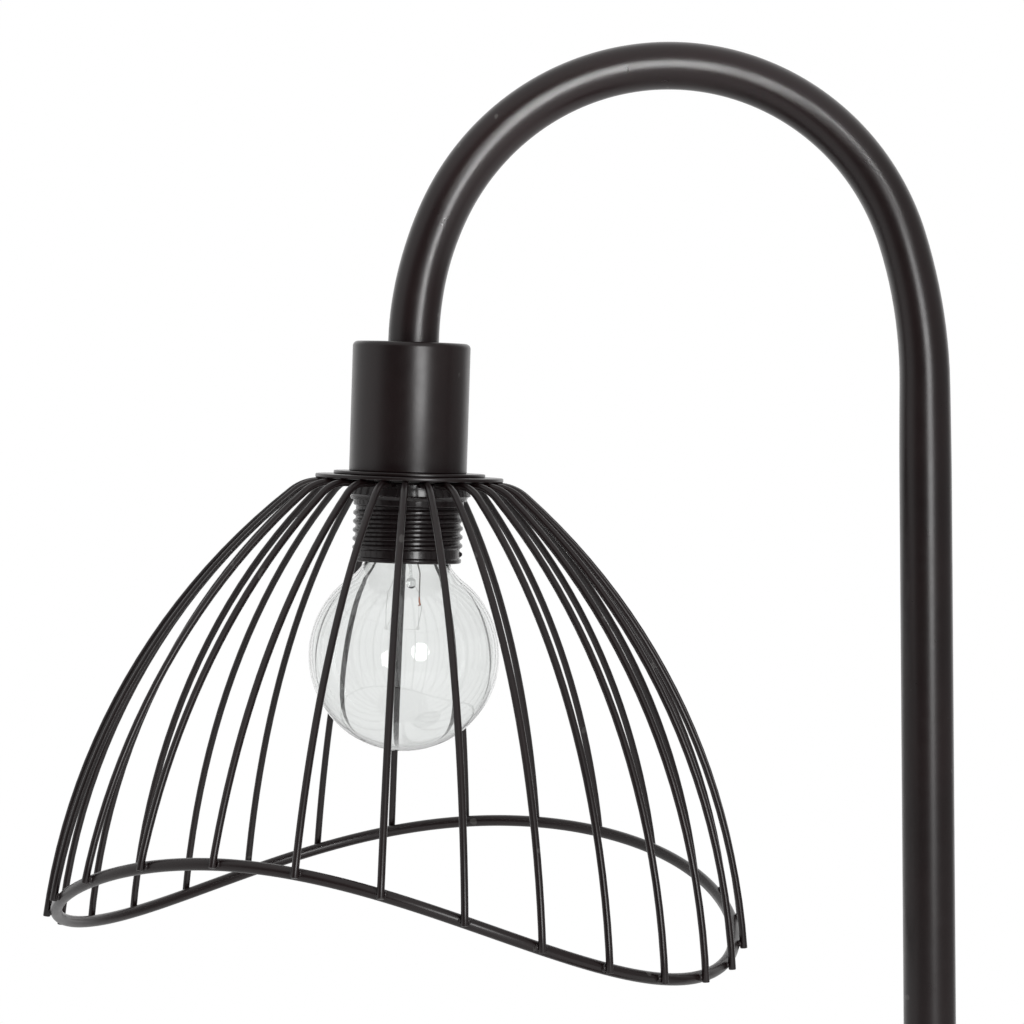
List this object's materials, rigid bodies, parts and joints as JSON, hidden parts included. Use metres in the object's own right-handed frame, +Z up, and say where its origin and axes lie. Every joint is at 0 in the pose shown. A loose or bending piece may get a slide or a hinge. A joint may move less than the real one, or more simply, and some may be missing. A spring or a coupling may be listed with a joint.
{
  "type": "table lamp",
  "caption": "Arched table lamp: round weighted foot, tubular stem bent over to a cup with a threaded lampholder, wavy wire cage shade held by a screwed ring, clear globe bulb.",
  "frame": {"origin": "middle of the foot's underside, where it rests on the table", "axes": "+Z up along the straight stem; the arch lies in the XZ plane and carries the shade on the -X side; the cord gland points to +X"},
  "size_m": [0.2873, 0.1603, 0.4805],
  "materials": {
    "black_coat": "satin black powder coat",
    "holder_black": "moulded black plastic, slightly glossy",
    "washer_grey": "pressed fibre",
    "cast_weight": "rough casting",
    "pad_rubber": "foam rubber",
    "zinc_steel": "zinc plated",
    "yellow_brass": "drawn brass",
    "block_white": "moulded white plastic",
    "insert_ceramic": "unglazed steatite",
    "lead_brown": "insulation",
    "lead_blue": "insulation",
    "cap_metal": "nickel plated, pressed",
    "solder": "dull solder",
    "insulator_black": "black glass",
    "clear_glass": "clear, polished",
    "bulb_wire": "drawn wire"
  },
  "bodies": {
    "stand": {"base_cover": "black_coat", "base_weight": "cast_weight", "base_pad": "pad_rubber", "cord_gland": "holder_black", "gland_nut": "holder_black", "cord_clamp": "holder_black", "clamp_screws": "zinc_steel", "connector_block": "block_white", "connector_screws": "zinc_steel", "stem_collar": "black_coat", "stem_nipple": "yellow_brass", "stem_washer": "zinc_steel", "stem_nut": "zinc_steel", "arch_tube": "black_coat", "socket_cup": "black_coat", "cup_flange": "black_coat", "cup_nut": "zinc_steel", "head_nipple": "yellow_brass", "holder_cap": "holder_black", "holder_insert": "insert_ceramic", "holder_skirt": "holder_black", "screw_shell": "yellow_brass", "centre_contact": "yellow_brass", "terminal_screws": "yellow_brass", "lead_live": "lead_brown", "lead_neutral": "lead_blue"},
    "ring_carrier": {"ring_washer": "washer_grey"},
    "ring": {"shade_ring": "holder_black"},
    "shade": {"shade_plate": "black_coat", "shade_ribs": "black_coat", "shade_rim": "black_coat"},
    "bulb_carrier": {"bulb_tip": "solder"},
    "bulb": {"bulb_insulator": "insulator_black", "bulb_cap": "cap_metal", "bulb_glass": "clear_glass", "bulb_mount": "clear_glass", "bulb_leads": "bulb_wire", "bulb_supports": "bulb_wire", "bulb_filament": "bulb_wire"}
  },
  "joints": [
    {"name": "ring_travel", "type": "slide", "parent": "stand", "child": "ring_carrier", "axis": [-0.0419, 0, -0.9991], "range_m": [0, 0.01]},
    {"name": "ring_turn", "type": "hinge", "parent": "ring_carrier", "child": "ring", "pos_m": [-0.12172, 0, 0.38067], "axis": [-0.0419, 0, -0.9991], "range_deg": [0, 1757]},
    {"name": "shade_turn", "type": "hinge", "parent": "ring_carrier", "child": "shade", "pos_m": [-0.12172, 0, 0.38067], "axis": [-0.0419, 0, -0.9991], "continuous": true},
    {"name": "bulb_travel", "type": "slide", "parent": "stand", "child": "bulb_carrier", "axis": [-0.0419, 0, -0.9991], "range_m": [0, 0.0142]},
    {"name": "bulb_turn", "type": "hinge", "parent": "bulb_carrier", "child": "bulb", "pos_m": [-0.12172, 0, 0.38067], "axis": [-0.0419, 0, -0.9991], "range_deg": [0, 1813]}
  ],
  "couplings": [
    {"joint": "ring_turn", "follows": "ring_travel", "rad_per_m": 3065},
    {"joint": "bulb_turn", "follows": "bulb_travel", "rad_per_m": 2228.1}
  ]
}
